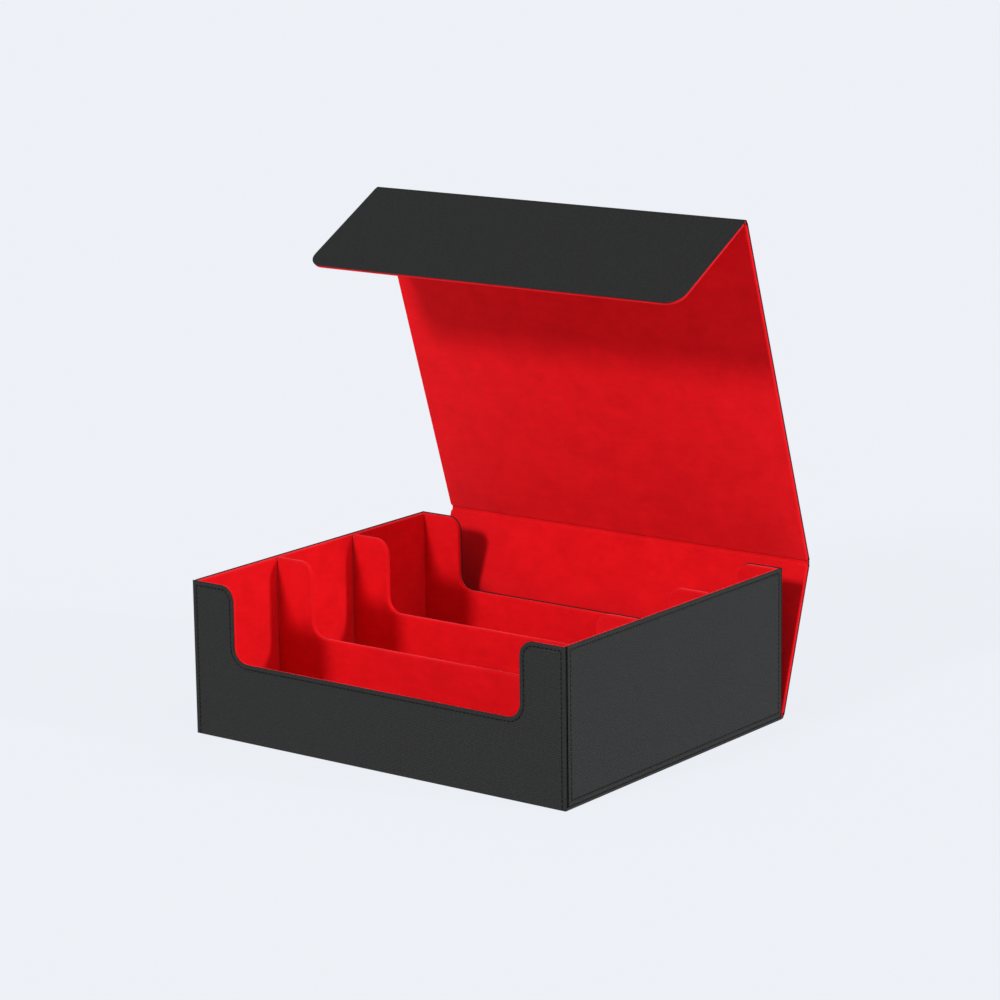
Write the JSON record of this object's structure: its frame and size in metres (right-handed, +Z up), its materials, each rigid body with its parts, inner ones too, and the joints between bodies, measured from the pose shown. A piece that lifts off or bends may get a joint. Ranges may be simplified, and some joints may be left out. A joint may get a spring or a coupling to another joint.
{
  "type": "card deck box",
  "caption": "Three-row storage box for trading cards: a suede-lined tray with cut-down walls and dividers, and a hinged wrap-round leather cover with a front flap.",
  "frame": {"origin": "middle of the underside of the tray's base, on the surface that the box stands on", "axes": "+X along the card rows to the right, -Y to the open front, +Y to the hinged back, +Z up"},
  "size_m": [0.2904, 0.2689, 0.3279],
  "materials": {
    "black_leather": "satin",
    "red_suede": "matte",
    "greyboard": "matte",
    "black_thread": "satin",
    "magnet": "satin"
  },
  "bodies": {
    "tray": {"back_wall_board": "greyboard", "back_wall_leather": "black_leather", "back_wall_lining": "red_suede", "base_board": "greyboard", "base_leather": "black_leather", "floor_board": "greyboard", "floor_lining": "red_suede", "front_divider_board": "greyboard", "front_divider_lining": "red_suede", "front_wall_board": "greyboard", "front_wall_leather": "black_leather", "front_wall_lining": "red_suede", "front_wall_magnets": "magnet", "front_wall_thread": "black_thread", "left_wall_board": "greyboard", "left_wall_leather": "black_leather", "left_wall_lining": "red_suede", "left_wall_thread": "black_thread", "rear_divider_board": "greyboard", "rear_divider_lining": "red_suede", "right_wall_board": "greyboard", "right_wall_leather": "black_leather", "right_wall_lining": "red_suede", "right_wall_thread": "black_thread"},
    "rear_crease": {"rear_crease_leather": "black_leather", "rear_crease_lining": "red_suede"},
    "back_panel": {"back_panel_board": "greyboard", "back_panel_leather": "black_leather", "back_panel_lining": "red_suede"},
    "lid_crease": {"lid_crease_leather": "black_leather", "lid_crease_lining": "red_suede"},
    "lid": {"lid_board": "greyboard", "lid_leather": "black_leather", "lid_lining": "red_suede"},
    "flap_crease": {"flap_crease_leather": "black_leather", "flap_crease_lining": "red_suede"},
    "flap": {"flap_board": "greyboard", "flap_leather": "black_leather", "flap_lining": "red_suede", "flap_magnets": "magnet"}
  },
  "joints": [
    {"name": "back_panel_fold", "type": "hinge", "parent": "tray", "child": "back_panel", "pos_m": [0, 0.1198, 0.0015], "axis": [-1, 0, 0], "range_deg": [-17.35, 11.25]},
    {"name": "lid_fold", "type": "hinge", "parent": "back_panel", "child": "lid", "pos_m": [0, 0.14974, 0.09733], "axis": [-1, 0, 0], "range_deg": [-54.6, 35.4]},
    {"name": "flap_fold", "type": "hinge", "parent": "lid", "child": "flap", "pos_m": [0, 0.07504, 0.32657], "axis": [-1, 0, 0], "range_deg": [-7.2, 11.1]},
    {"name": "rear_crease_fold", "type": "hinge", "parent": "tray", "child": "rear_crease", "pos_m": [0, 0.1198, 0.0015], "axis": [-1, 0, 0], "range_deg": [-8.68, 5.62]},
    {"name": "lid_crease_fold", "type": "hinge", "parent": "back_panel", "child": "lid_crease", "pos_m": [0, 0.14974, 0.09733], "axis": [-1, 0, 0], "range_deg": [-27.3, 17.7]},
    {"name": "flap_crease_fold", "type": "hinge", "parent": "lid", "child": "flap_crease", "pos_m": [0, 0.07504, 0.32657], "axis": [-1, 0, 0], "range_deg": [-3.6, 5.55]}
  ],
  "couplings": [
    {"joint": "back_panel_fold", "follows": "lid_fold", "ratio": 0.31777},
    {"joint": "flap_fold", "follows": "lid_fold", "ratio": -0.2033},
    {"joint": "rear_crease_fold", "follows": "lid_fold", "ratio": 0.15888},
    {"joint": "lid_crease_fold", "follows": "lid_fold", "ratio": 0.5},
    {"joint": "flap_crease_fold", "follows": "lid_fold", "ratio": -0.10165}
  ]
}
